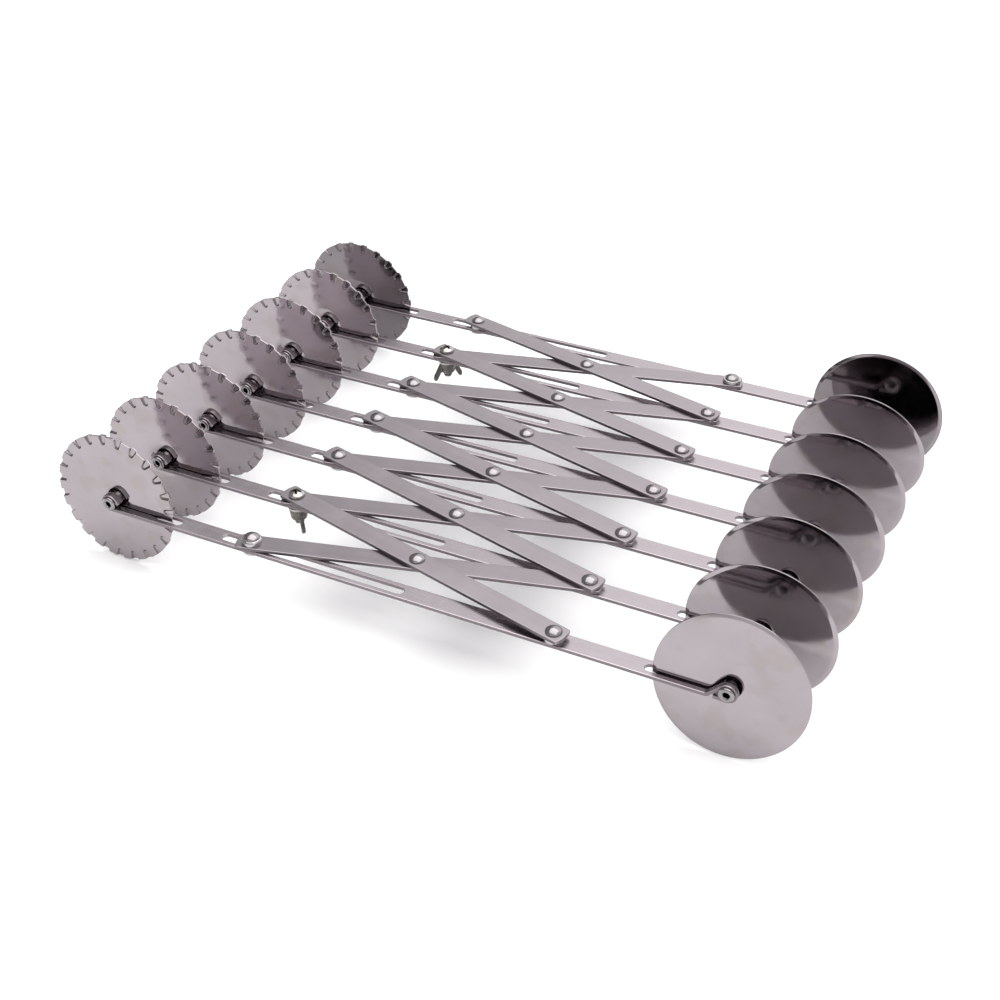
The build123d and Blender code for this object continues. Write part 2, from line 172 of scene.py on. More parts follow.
def bump(nt, height, distance, strength=1.0, normal=None):
    b = nt.nodes.new("ShaderNodeBump")
    b.inputs["Strength"].default_value = strength
    b.inputs["Distance"].default_value = distance
    nt.links.new(height, b.inputs["Height"])
    if normal is not None:
        nt.links.new(normal, b.inputs["Normal"])
    return b.outputs["Normal"]


def strip_metal(name, tint, rough, grain_bump):
    """Rolled stainless strip with a fine lengthwise grain.  Local X runs along the strip."""
    m, nt, bsdf = new_material(name)
    fine = noise(nt, mapped(nt, (28, 3300, 3300)), 1.0, 4, 0.6)
    broad = noise(nt, mapped(nt, (14, 900, 900)), 1.0, 3, 0.5)
    cloud = noise(nt, mapped(nt, (1, 1, 1)), 55.0, 4, 0.6)
    colour = ramp(nt, fine, 0.30, 0.72, [0.975 * c for c in tint], [1.02 * c for c in tint])
    streak = ramp(nt, broad, 0.30, 0.72, (0.97, 0.97, 0.97), (1.02, 1.02, 1.02))
    smudge = ramp(nt, cloud, 0.35, 0.68, (0.95, 0.945, 0.94), (1.03, 1.03, 1.035))
    # the sheared edges, whose normal runs across the strip, are rougher than the rolled faces; their colour is also
    # darkened to about half, which is painted shade
    co = nt.nodes.new("ShaderNodeTexCoord")
    sep = nt.nodes.new("ShaderNodeSeparateXYZ")
    nt.links.new(co.outputs["Normal"], sep.inputs[0])
    size = nt.nodes.new("ShaderNodeMath")
    size.operation = "ABSOLUTE"
    nt.links.new(sep.outputs[1], size.inputs[0])
    edge = ramp(nt, size.outputs[0], 0.72, 0.97, (1.0, 1.0, 1.0), (0.50, 0.48, 0.48))
    face = multiply(nt, multiply(nt, colour, streak), smudge)
    nt.links.new(multiply(nt, face, edge), bsdf.inputs["Base Color"])
    r = add(nt, remap(nt, fine, rough - 0.02, rough + 0.02), remap(nt, cloud, -0.02, 0.03))
    nt.links.new(add(nt, r, remap(nt, size.outputs[0], 0.0, 0.12, 0.75, 0.97)), bsdf.inputs["Roughness"])
    bsdf.inputs["Metallic"].default_value = 1.0
    bsdf.inputs["Anisotropic"].default_value = 0.62
    along = nt.nodes.new("ShaderNodeVectorTransform")
    along.vector_type = "VECTOR"
    along.convert_from, along.convert_to = "OBJECT", "WORLD"
    along.inputs["Vector"].default_value = (1, 0, 0)
    nt.links.new(along.outputs["Vector"], bsdf.inputs["Tangent"])
    nt.links.new(bump(nt, fine, grain_bump, 0.5, bump(nt, broad, grain_bump * 1.6, 0.35)), bsdf.inputs["Normal"])
    return m


def disc_metal(name, tint, rough):
    """Polished sheet: near-mirror, with faint lapping marks, haze and a few handling smudges."""
    m, nt, bsdf = new_material(name)
    co = nt.nodes.new("ShaderNodeTexCoord")
    # distance from the disc's own axis (local Z) gives the turned rings
    sep = nt.nodes.new("ShaderNodeSeparateXYZ")
    nt.links.new(co.outputs["Object"], sep.inputs[0])
    flat = nt.nodes.new("ShaderNodeCombineXYZ")
    nt.links.new(sep.outputs[0], flat.inputs[0])
    nt.links.new(sep.outputs[1], flat.inputs[1])
    length = nt.nodes.new("ShaderNodeVectorMath")
    length.operation = "LENGTH"
    nt.links.new(flat.outputs[0], length.inputs[0])
    rings = nt.nodes.new("ShaderNodeTexNoise")
    rings.noise_dimensions = "1D"
    rings.inputs["Scale"].default_value = 2600.0
    rings.inputs["Detail"].default_value = 3.0
    nt.links.new(length.outputs["Value"], rings.inputs["W"])
    lap = noise(nt, mapped(nt, (2200, 60, 60), (0, 0, 0.6)), 1.0, 3, 0.6)
    info = nt.nodes.new("ShaderNodeObjectInfo")
    shift = nt.nodes.new("ShaderNodeVectorMath")
    shift.operation = "MULTIPLY_ADD"
    shift.inputs[1].default_value = (0.7, 1.3, 2.1)
    nt.links.new(info.outputs["Random"], shift.inputs[0])
    nt.links.new(co.outputs["Object"], shift.inputs[2])
    haze = noise(nt, shift.outputs[0], 62.0, 3, 0.5)
    finger = noise(nt, shift.outputs[0], 118.0, 2, 0.4)
    colour = ramp(nt, haze, 0.34, 0.70, [0.955 * c for c in tint], [1.03 * c for c in tint])
    spots = ramp(nt, finger, 0.53, 0.62, (1.0, 1.0, 1.0), (0.955, 0.945, 0.905))
    nt.links.new(multiply(nt, colour, spots), bsdf.inputs["Base Color"])
    r = add(nt, remap(nt, haze, rough - 0.012, rough + 0.025), remap(nt, lap, -0.012, 0.012))
    nt.links.new(add(nt, r, remap(nt, finger, 0.0, 0.03, 0.50, 0.66)), bsdf.inputs["Roughness"])
    bsdf.inputs["Metallic"].default_value = 1.0
    nt.links.new(bump(nt, rings.outputs["Fac"], 0.0000006, 0.5, bump(nt, haze, 0.00004, 0.25)), bsdf.inputs["Normal"])
    return m


def fixing_metal(name, tint, rough, grit=0.05, distance=0.00002, scale=900.0):
    """Small turned or cold-headed fixings: bright, with tool marks and a slightly darker film in places."""
    m, nt, bsdf = new_material(name)
    small = noise(nt, mapped(nt, (1, 1, 1)), scale, 4, 0.6)
    film = noise(nt, mapped(nt, (1, 1, 1)), 260.0, 3, 0.5)
    colour = ramp(nt, film, 0.34, 0.68, [0.86 * c for c in tint], [1.05 * c for c in tint])
    nt.links.new(colour, bsdf.inputs["Base Color"])
    nt.links.new(add(nt, remap(nt, small, rough - grit, rough + grit), remap(nt, film, 0.03, -0.03)), bsdf.inputs["Roughness"])
    bsdf.inputs["Metallic"].default_value = 1.0
    nt.links.new(bump(nt, small, distance, 0.4), bsdf.inputs["Normal"])
    return m


STEEL = (0.452, 0.408, 0.434)
DISC = [c * 0.74 for c in STEEL]
M_ARM = strip_metal("satin_arm_strip", [c * 0.86 for c in STEEL], 0.27, 0.000003)
M_LINK = strip_metal("satin_link_strip", [c * 0.70 for c in STEEL], 0.30, 0.0000035)
M_PLAIN = disc_metal("polished_plain_disc", DISC, 0.075)
M_FLUTED = disc_metal("polished_fluted_disc", DISC, 0.085)
# painted shade: darker copies of the polished disc metal for the last wheel, standing in for the darker surroundings
# it reflects
M_SHADED_PLAIN = disc_metal("polished_plain_disc_painted_shade", [c * 0.55 for c in STEEL], 0.065)
M_SHADED_FLUTED = disc_metal("polished_fluted_disc_painted_shade", [c * 0.42 for c in STEEL], 0.080)
# painted light: a brighter copy of the polished disc metal for the fluted discs' back faces
M_LIT_FLUTED_BACK = disc_metal("polished_fluted_disc_back_painted_light", [c * 1.22 for c in STEEL], 0.085)
# painted shade: a dark steel laid on the walls of the pressed scoops
M_SCOOP_SHADE = fixing_metal("painted_scoop_shade", (0.200, 0.176, 0.178), 0.24, 0.06)
# painted shade: near-black steel for the faces inside the screw's cross recess
M_RECESS_SHADE = fixing_metal("painted_recess_shade", (0.045, 0.038, 0.034), 0.45, 0.06)
M_RIVET = fixing_metal("bright_rivet", (0.28, 0.26, 0.268), 0.16)
M_AXLE = fixing_metal("bright_axle_rivet", (0.29, 0.27, 0.275), 0.20, 0.06)
M_WASHER = fixing_metal("turned_washer", (0.45, 0.425, 0.43), 0.20)
M_SCREW = fixing_metal("plated_screw", (0.36, 0.34, 0.325), 0.14)
M_NUT = fixing_metal("nickel_wing_nut", (0.130, 0.120, 0.110), 0.27, 0.07, 0.00006, 520.0)


# ------------------------------------------------------------------ mesh tools
def make_object(name, bm, material, matrix=None, weighted=True):
    """One object from a bmesh in millimetres, smooth shaded."""
    bmesh.ops.scale(bm, vec=(MM, MM, MM), verts=bm.verts)
    bmesh.ops.remove_doubles(bm, verts=bm.verts, dist=1e-7)
    bmesh.ops.recalc_face_normals(bm, faces=bm.faces)
    me = bpy.data.meshes.new(name)
    bm.to_mesh(me)
    bm.free()
    for p in me.polygons:
        p.use_smooth = True
    me.materials.append(material)
    return place(name, me, matrix, weighted)


def place(name, me, matrix=None, weighted=True):
    o = bpy.data.objects.new(name, me)
    bpy.context.scene.collection.objects.link(o)
    if matrix is not None:
        o.matrix_world = matrix
    if weighted:
        w = o.modifiers.new("normals", "WEIGHTED_NORMAL")
        w.mode = "FACE_AREA"
        w.weight = 70
        w.keep_sharp = False
    return o


def settle(o, body, slot, *nodes):
    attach(o, body)
    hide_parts(*nodes)
    return o


def lathe(profile, segments=72, closed=False):
    """Revolves (r, z) points about Z."""
    bm = bmesh.new()
    rings = []
    for r, z in profile:
        if r < 1e-6:
            rings.append([bm.verts.new((0, 0, z))])
        else:
            rings.append([bm.verts.new((r * math.cos(2 * math.pi * i / segments), r * math.sin(2 * math.pi * i / segments), z)) for i in range(segments)])
    pairs = list(zip(rings, rings[1:]))
    if closed:
        pairs.append((rings[-1], rings[0]))
    for a, b in pairs:
        for i in range(segments):
            j = (i + 1) % segments
            if len(a) == 1 and len(b) == 1:
                continue
            if len(a) == 1:
                bm.faces.new((a[0], b[i], b[j]))
            elif len(b) == 1:
                bm.faces.new((a[i], a[j], b[0]))
            else:
                bm.faces.new((a[i], a[j], b[j], b[i]))
    return bm


def arc(cx, cy, r, a0, a1, n):
    return [(cx + r * math.cos(math.radians(a0 + (a1 - a0) * i / n)), cy + r * math.sin(math.radians(a0 + (a1 - a0) * i / n))) for i in range(n + 1)]


def rounded(points, radius, n=4):
    """An open profile with its inner corners rounded."""
    out = [points[0]]
    for p, q, s in zip(points, points[1:], points[2:]):
        p, q, s = Vector(p), Vector(q), Vector(s)
        u, v = (p - q), (s - q)
        k = min(radius, u.length * 0.45, v.length * 0.45)
        a, b = q + u.normalized() * k, q + v.normalized() * k
        for i in range(n + 1):
            t = i / n
            out.append(tuple(a * (1 - t) ** 2 + q * 2 * t * (1 - t) + b * t * t))
    out.append(points[-1])
    return out


def inset_loop(points, radii, share):
    """Moves each edge of a closed loop to its left by its own radius times share."""
    n = len(points)
    moved = []
    for i in range(n):
        p0, p1, p2 = Vector(points[i - 1]), Vector(points[i]), Vector(points[(i + 1) % n])
        d1, d2 = (p1 - p0).normalized(), (p2 - p1).normalized()
        n1, n2 = Vector((-d1.y, d1.x)), Vector((-d2.y, d2.x))
        r1, r2 = radii[i - 1] * share, radii[i] * share
        cross = d1.x * d2.y - d1.y * d2.x
        if abs(cross) < 0.05:
            m = (n1 + n2).normalized()
            moved.append(p1 + m * ((r1 + r2) / 2))
        else:
            a, b = p1 + n1 * r1, p1 + n2 * r2
            t = ((b - a).x * d2.y - (b - a).y * d2.x) / cross
            moved.append(a + d1 * t)
    return moved


def plate(loops, z0, z1, steps=4):
    """A flat plate with rounded edges.  loops[0] is the outline, counter-clockwise; the others are
    holes, clockwise.  Each is (points, radii), one radius per edge."""
    bm = bmesh.new()
    caps = {True: [], False: []}
    for points, radii in loops:
        rings = []
        levels = [(90 - 90 * i / steps) for i in range(steps + 1)]
        for top in (False, True):
            for a in (levels if not top else reversed(levels)):
                a = math.radians(a)
                ring = inset_loop(points, radii, 1 - math.cos(a))
                row = []
                for i, p in enumerate(ring):
                    r = min(radii[i - 1], radii[i])
                    drop = r * (1 - math.sin(a))
                    z = (z1 - drop) if top else (z0 + drop)
                    row.append(bm.verts.new((p.x, p.y, z)))
                rings.append(row)
        n = len(points)
        for a, b in zip(rings, rings[1:]):
            for i in range(n):
                j = (i + 1) % n
                bm.faces.new((a[i], a[j], b[j], b[i]))
        caps[False].append(rings[0])
        caps[True].append(rings[-1])
    for top, sets in caps.items():
        flat = [v for s in sets for v in s]
        for tri in tessellate_polygon([[Vector((v.co.x, v.co.y, 0)) for v in s] for s in sets]):
            if len(set(tri)) == 3:
                try:
                    bm.faces.new([flat[i] for i in tri])
                except ValueError:
                    pass
    bmesh.ops.recalc_face_normals(bm, faces=bm.faces)
    return bm


def circle_loop(cx, cy, r, edge, n=48, clockwise=True):
    pts = [(cx + r * math.cos(2 * math.pi * i / n), cy + r * math.sin(2 * math.pi * i / n)) for i in range(n)]
    if clockwise:
        pts.reverse()
    return pts, [edge] * n


# ------------------------------------------------------------------ arms
lo, hi = box_mm("arm_4")
ARM_BOT = lo.z
ARM_TOP = ARM_BOT + T
MID = (ARM_BOT + ARM_TOP) / 2
SPIN = {j["child"]: (Vector(j["pos_m"]), Vector(j["axis"]).normalized()) for j in record["behaviour"]["joints"] if j.get("continuous")}
flo, fhi = box_mm("plain_wheel_3")          # an upright one
WHEEL_R = (fhi.z - flo.z) / 2
AXLE_X = (fhi.x + flo.x) / 2
AXLE_Z = (fhi.z + flo.z) / 2
mid_r = EYE_IN + T / 2
s45, c45 = math.sin(math.radians(RISE)), math.cos(math.radians(RISE))
corner_x = AXLE_X - mid_r * (1 + c45) / s45
bend_c = BEND_R + T / 2
bend_x = corner_x - bend_c * math.tan(math.radians(RISE / 2))
rise_a = Vector((bend_x + bend_c * s45, MID + bend_c * (1 - c45)))
rise_b = Vector((AXLE_X - mid_r * s45, AXLE_Z + mid_r * c45))
LEN_BEND = math.radians(RISE) * bend_c
LEN_RISE = (rise_b - rise_a).length
LEN_EYE_P = math.radians(180 + RISE) * mid_r
SWEEP_F = 270.0 - HOOK_A           # the fluted end's roll turns from straight down, over the top, to HOOK_A
LEN_ROLL_F = math.radians(SWEEP_F) * mid_r
LEN_EYE_F = LEN_ROLL_F + HOOK_L    # and runs on straight, an open hook
S_MIN = -AXLE_X - LEN_EYE_F
S_BEND = bend_x
S_RISE = S_BEND + LEN_BEND
S_EYE = S_RISE + LEN_RISE
S_TAIL = S_EYE + LEN_EYE_P
S_MAX = S_TAIL + TAIL_X


def strip_place(s, h):
    """Point at distance s along the bent strip's mid line and h above it, as (x, z)."""
    if s < -AXLE_X:
        d = -AXLE_X - s
        on = max(0.0, d - LEN_ROLL_F)
        a = math.radians(-90) - min(d, LEN_ROLL_F) / mid_r
        r = mid_r - h
        return -AXLE_X + r * math.cos(a) + on * math.sin(a), AXLE_Z + r * math.sin(a) - on * math.cos(a)
    if s <= S_BEND:
        return s, MID + h
    if s <= S_RISE:
        a = (s - S_BEND) / bend_c
        r = bend_c - h
        return S_BEND + r * math.sin(a), MID + bend_c - r * math.cos(a)
    if s <= S_EYE:
        p = rise_a.lerp(rise_b, (s - S_RISE) / LEN_RISE)
        return p.x - s45 * h, p.y + c45 * h
    if s <= S_TAIL:
        a = math.radians(90 + RISE) - (s - S_EYE) / mid_r
        r = mid_r + h
        return AXLE_X + r * math.cos(a), AXLE_Z + r * math.sin(a)
    return AXLE_X - (s - S_TAIL), AXLE_Z - mid_r - h


def arm_mesh():
    w, e_out, e_in = ARM_W / 2, 0.42, 0.16
    out, rad = [], []

    def go(points, r):
        for p in points:
            out.append(p)
            rad.append(r)

    # each radius belongs to the edge that leaves its point
    go([(S_MIN, -w)], e_out)
    go([(S_MAX, -w)], e_in)
    fp = FORK_P_W / 2
    go([(S_MAX, -fp)], e_in * 0.8)
    go(arc(FORK_P_ROOT + fp, 0, fp, 270, 90, 10), e_in * 0.8)
    go([(S_MAX, fp)], e_in)
    go([(S_MAX, w)], e_out)
    go([(S_MIN, w)], e_in)
    ff, fs = FORK_F_W / 2, FORK_F_EYE_W / 2
    near, far = FORK_F_NECK
    go([(S_MIN, fs), (-far, fs), (-near, ff)], e_in)
    go(arc(-FORK_F_ROOT - ff, 0, ff, 90, -90, 14), e_in)
    go([(-near, -ff), (-far, -fs), (S_MIN, -fs)], e_in)
    sl, sr, sw = SLOT_L + SLOT_W / 2, SLOT_R - SLOT_W / 2, SLOT_W / 2
    slot = arc(sl, 0, sw, 90, 270, 16) + arc(sr, 0, sw, -90, 90, 16)
    slot.reverse()
    bm = plate([(out, rad), (slot, [0.16] * len(slot)), circle_loop(65.0, 0, HOLE_R, 0.12)], -T / 2, T / 2)
    cuts = []
    n = 44
    cuts += [-AXLE_X - LEN_ROLL_F * i / n for i in range(0, n + 1)]
    cuts += [S_BEND + LEN_BEND * i / 7 for i in range(0, 8)]
    cuts += [S_EYE + LEN_EYE_P * i / 36 for i in range(0, 37)]
    for s in cuts:
        bmesh.ops.bisect_plane(bm, geom=bm.verts[:] + bm.edges[:] + bm.faces[:], plane_co=(s, 0, 0), plane_no=(1, 0, 0), dist=1e-5)
    for v in bm.verts:
        x, z = strip_place(v.co.x, v.co.z)
        v.co.x, v.co.z = x, z
    return bm


arm_objects = {}
first = None
for k in range(1, ARMS + 1):
    lo, hi = box_mm(f"arm_{k}")
    where = Matrix.Translation((0, (lo.y + hi.y) / 2 * MM, 0))
    if first is None:
        o = make_object("cutter_arm_1", arm_mesh(), M_ARM, where)
        first = o.data
    else:
        o = place(f"cutter_arm_{k}", first, where)
    arm_objects[k] = settle(o, f"arm_{k}", "arm_strip", f"arm_{k}")


# ------------------------------------------------------------------ links
def link_mesh(half):
    xl, xr, w, bulge, corner = -half - LINK_OVER_L, half + LINK_OVER_R, LINK_W / 2, 0.9, 0.8

    def end(x, sign):
        """Crowned end from one long edge to the other, with small rounded corners."""
        ball = (w * w + bulge * bulge) / (2 * bulge)
        cx = x - sign * ball
        a = math.degrees(math.asin((w - corner * 0.7) / ball))
        crown = [(cx + sign * ball * math.cos(math.radians(t)), ball * math.sin(math.radians(t))) for t in [-a + 2 * a * i / 14 for i in range(15)]]
        if sign < 0:
            crown = [(cx - ball * math.cos(math.radians(t)), ball * math.sin(math.radians(t))) for t in [a - 2 * a * i / 14 for i in range(15)]]
        base = x - sign * (bulge + corner * 1.15)
        first_c = (base, crown[0][1] / abs(crown[0][1]) * w)
        last_c = (base, crown[-1][1] / abs(crown[-1][1]) * w)

        def knee(p, tip, q, n=5):
            p, tip, q = Vector(p), Vector(tip), Vector(q)
            return [tuple(p * (1 - t) ** 2 + tip * 2 * t * (1 - t) + q * t * t) for t in [i / n for i in range(n)]]

        tip1 = (x - sign * bulge * 0.93, first_c[1])
        tip2 = (x - sign * bulge * 0.93, last_c[1])
        back = knee(last_c, tip2, crown[-1])
        back.reverse()
        return knee(first_c, tip1, crown[0]) + crown + back[:-1] + [last_c]

    pts = end(xr, 1) + end(xl, -1)
    clean = []
    for p in pts:
        if not clean or (Vector(p) - Vector(clean[-1])).length > 1e-4:
            clean.append(p)
    loops = [(clean, [0.34] * len(clean))]
    for x in (-half, 0.0, half):
        loops.append(circle_loop(x, 0, HOLE_R, 0.10))
    return plate(loops, -T / 2, T / 2)


HALF = math.hypot(130.0, 32.8) / 2
TILT = math.degrees(math.atan2(32.8, 130.0))
first = None
for k in range(1, ARMS):
    for kind, turn in (("upper", -TILT), ("lower", TILT)):
        lo, hi = box_mm(f"{kind}_link_{k}")
        alo, ahi = box_mm(f"arm_{k}")
        blo, bhi = box_mm(f"arm_{k + 1}")
        y = ((alo.y + ahi.y) / 2 + (blo.y + bhi.y) / 2) / 2
        where = Matrix.Translation((0, y * MM, (lo.z + hi.z) / 2 * MM)) @ Matrix.Rotation(math.radians(turn), 4, "Z")
        if first is None:
            o = make_object(f"{kind}_bar_{k}", link_mesh(HALF), M_LINK, where)
            first = o.data
        else:
            o = place(f"{kind}_bar_{k}", first, where)
        settle(o, f"{kind}_link_{k}", "link_strip", f"{kind}_link_{k}")


# ------------------------------------------------------------------ wheels
UPRIGHT = Matrix.Rotation(math.radians(90), 4, "X")


def plain_mesh():
    h, land = PLAIN_T / 2, PLAIN_LAND / 2
    R, br = WHEEL_R, BORE_R
    half = [(br, h - 0.12), (br + 0.05, h - 0.04), (br + 0.14, h), (6, h), (12, h), (18, h), (24, h),
            (R - PLAIN_BEVEL - 0.25, h), (R - PLAIN_BEVEL - 0.08, h - 0.008), (R - PLAIN_BEVEL + 0.08, h - 0.028),
            (R - PLAIN_BEVEL + 0.3, h - 0.07), (R - 0.22, land + 0.035), (R - 0.08, land - 0.02), (R - 0.02, land - 0.09), (R, 0.0)]
    prof = half + [(r, -z) for r, z in reversed(half[:-1])]
    return lathe(prof, 288, closed=True)


def fluted_mesh(phase):
    """Flat disc whose rim has round-ended scoops, all pressed to the same side (local -Z)."""
    R0, R1, h = FLUTE_IN_R, WHEEL_R, FLUTE_T / 2
    period = 360.0 / FLUTES
    half_mm = math.radians(period / 2) * R1
    cols = [0.185 * i for i in range(12)] + [2.5, 3.1]
    across = sorted({round(-c, 4) for c in cols if c > 0} | {round(c, 4) for c in cols} | {round(half_mm, 4)})
    angles = [phase + k * period + math.degrees(u / R1) for k in range(FLUTES) for u in across]
    radii = [BORE_R, BORE_R + 0.1, 9, 17, 22.5, 24.1]
    m = 28
    radii += [24.35 + (R1 - 0.14 - 24.35) * i / m for i in range(m + 1)] + [R1 - 0.045, R1]
    tip, wide = 1.05, 1.72
    rc = R0 + tip

    def down_wall(r, u):
        """How far down a scoop's wall a point lies: 0 on the flat, 1 on the scoop's floor."""
        if r < rc:
            inside = tip - math.hypot(r - rc, u)
        else:
            inside = tip + (wide - tip) * (r - rc) / (R1 - rc) - abs(u)
        return max(0.0, min(1.0, (inside + 0.22) / 0.80))

    def lift(r, u):
        """Height of the sheet's middle at radius r, u millimetres across from a scoop's centre line."""
        t = down_wall(r, u)
        wall = t * t * (3 - 2 * t)
        return -wall * FLUTE_A * (0.50 + 0.50 * min(1.0, max(0.0, (r - R0) / (R1 - R0))))

    bm = bmesh.new()
    n = len(angles)
    sides = []
    for side in (1, -1):
        rows = []
        for idx, r in enumerate(radii):
            t = h
            if idx == 0:
                t = h - 0.10
            if r > R1 - 0.1:
                t = h * (0.88 if r < R1 - 0.01 else 0.66)
            row = []
            for i, a in enumerate(angles):
                u = across[i % len(across)] * r / R1
                z = lift(min(r, R1), u) + side * t
                row.append(bm.verts.new((r * math.cos(math.radians(a)), r * math.sin(math.radians(a)), z)))
            rows.append(row)
        sides.append(rows)
        for q, (a, b) in enumerate(zip(rows, rows[1:])):
            for i in range(n):
                j = (i + 1) % n
                f = bm.faces.new((a[i], a[j], b[j], b[i]))
                r = (radii[q] + radii[q + 1]) / 2
                u0, u1 = across[i % len(across)], across[j % len(across)]
                # painted light: the back side (side -1) takes the brighter back material, index 2
                f.material_index = 0 if side > 0 else 2
                # painted shade: front faces on a scoop's walls take the dark scoop material, index 1
                if side > 0 and u1 > u0 and r < R1 - 0.1:
                    u = (u0 + u1) / 2 * r / R1
                    dark = 0.10 < down_wall(r, u) < (0.92 if r < rc else 0.74)
                    f.material_index = 1 if dark else f.material_index
    for idx in (0, -1):
        a, b = sides[0][idx], sides[1][idx]
        for i in range(n):
            j = (i + 1) % n
            bm.faces.new((a[i], a[j], b[j], b[i]))
    return bm


def on_axle(name):
    """Where a wheel sits: its own +Z is the spin axis, turned to face arm 1's side."""
    pos, axis = SPIN[name]
    z = -axis
    x = Vector((1, 0, 0))
    y = z.cross(x)
    return Matrix.Translation(pos) @ Matrix((x, y, z)).transposed().to_4x4()


plain_data = None
for k in range(1, ARMS + 1):
    name, where = f"plain_disc_{k}", on_axle(f"plain_wheel_{k}")
    # painted shade: the last wheel's plain disc takes the darker plain disc metal
    metal = M_SHADED_PLAIN if k == ARMS else M_PLAIN
    if plain_data is None or k == ARMS:
        o = make_object(name, plain_mesh(), metal, where)
        plain_data = o.data
    else:
        o = place(name, plain_data, where)
    settle(o, f"plain_wheel_{k}", "polished_disc", f"plain_wheel_{k}")
    # painted shade: the last wheel's fluted disc takes the darker fluted disc metal
    metal = M_SHADED_FLUTED if k == ARMS else M_FLUTED
    o = make_object(f"fluted_disc_{k}", fluted_mesh(PHASE[k]), metal, on_axle(f"fluted_wheel_{k}"), weighted=False)
    o.data.materials.append(M_SCOOP_SHADE)
    o.data.materials.append(M_LIT_FLUTED_BACK)
    settle(o, f"fluted_wheel_{k}", "polished_disc", f"fluted_wheel_{k}")


# ------------------------------------------------------------------ rivets
def cap_points(r, z_edge, z_top, n=12):
    """Spherical cap from its edge to its crown."""
    rise = abs(z_top - z_edge)
    sgn = 1 if z_top > z_edge else -1
    ball = (r * r + rise * rise) / (2 * rise)
    a = math.asin(min(1.0, r / ball))
    return [(ball * math.sin(a * (1 - i / n)), z_top - sgn * ball * (1 - math.cos(a * (1 - i / n)))) for i in range(n + 1)]


def axle_profile():
    e = ARM_W / 2
    ring_c, ring_h = (AX_HEAD_R + AX_HOLE_R) / 2, (AX_HEAD_R - AX_HOLE_R) / 2
    p = list(reversed(cap_points(AX_HEAD_R - 0.04, -e - 0.2, -e - AX_HEAD_H, 12)))
    p += [(AX_HEAD_R, -e - 0.14), (AX_HEAD_R, -e - 0.05), (AX_HEAD_R - 0.05, -e), (AXLE_R + 0.02, -e), (AXLE_R, -e + 0.05)]
    p += [(AXLE_R, e - 0.05), (AXLE_R + 0.02, e), (AX_HEAD_R - 0.14, e), (AX_HEAD_R - 0.03, e + 0.06), (AX_HEAD_R, e + 0.18)]
    for i in range(11):
        a = math.radians(0 + 180 * i / 10)
        p.append((ring_c + ring_h * math.cos(a), e + 0.36 + (AX_HEAD_H - 0.36) * math.sin(a) ** 0.8))
    p += [(AX_HOLE_R, e + 0.2), (AX_HOLE_R, e - AX_HOLE_D), (0, e - AX_HOLE_D - 0.5)]
    return p


def pivot_profile(bottom, tail, top, foot=False):
    p = []
    if foot:
        p += [(0, bottom + 0.02), (HOLE_R + 0.3, bottom + 0.02), (HOLE_R + 0.42, bottom + 0.06), (PIN_R, bottom + 0.56), (PIN_R, top)]
    else:
        p += list(reversed(cap_points(TAIL_R - 0.03, bottom - 0.22, bottom - tail)))
        p += [(TAIL_R, bottom - 0.16), (TAIL_R, bottom - 0.05), (TAIL_R - 0.05, bottom), (PIN_R, bottom), (PIN_R, top)]
    p += [(HEAD_R - 0.06, top), (HEAD_R - 0.01, top + 0.05), (HEAD_R, top + 0.14), (HEAD_R - 0.015, top + 0.30), (HEAD_R - 0.07, top + 0.44)]
    p += cap_points(HEAD_R - 0.13, top + 0.53, top + HEAD_H, 14)
    return p


def washer_profile(r_out, r_in, z0, z1, top_edge=0.12, bottom_edge=0.12):
    return rounded([(r_in + 0.001, (z0 + z1) / 2), (r_in, z0), (r_out, z0), (r_out, z1), (r_in, z1), (r_in, (z0 + z1) / 2 + 0.001)], min(top_edge, bottom_edge) * 1.6, 4)


def spin(name, profile, material, matrix, segments=72, closed=False):
    return make_object(name, lathe(profile, segments, closed), material, matrix)


def at(x, y, z=0.0):
    return Matrix.Translation((x * MM, y * MM, z * MM))


HEAD_Z = box_mm("upper_link_4")[1].z + 0.05
LOW_Z = box_mm("lower_link_4")[0].z
UP_Z = box_mm("upper_link_4")[0].z
SPAN_H = 65.0
TAIL_Z = ARM_BOT
WASH_Z = ARM_BOT - 0.05
axle_data = through_data = mid_data = slide_data = washer_data = None
for k in range(1, ARMS + 1):
    alo, ahi = box_mm(f"arm_{k}")
    y = (alo.y + ahi.y) / 2
    for side, x in (("fluted", -AXLE_X), ("plain", AXLE_X)):
        where = at(x, y, AXLE_Z) @ UPRIGHT @ Matrix.Rotation(k * 0.7, 4, "Z")
        name = f"{side}_axle_rivet_{k}"
        if axle_data is None:
            o = spin(name, axle_profile(), M_AXLE, where, 64)
            axle_data = o.data
        else:
            o = place(name, axle_data, where)
        settle(o, f"arm_{k}", "rivet_steel", f"arm_rivets_{k}")
    name, where = f"right_pivot_rivet_{k}", at(SPAN_H, y)
    if through_data is None:
        o = spin(name, pivot_profile(TAIL_Z, TAIL_H, HEAD_Z), M_RIVET, where)
        through_data = o.data
    else:
        o = place(name, through_data, where)
    settle(o, f"arm_{k}", "rivet_steel", f"arm_rivets_{k}")

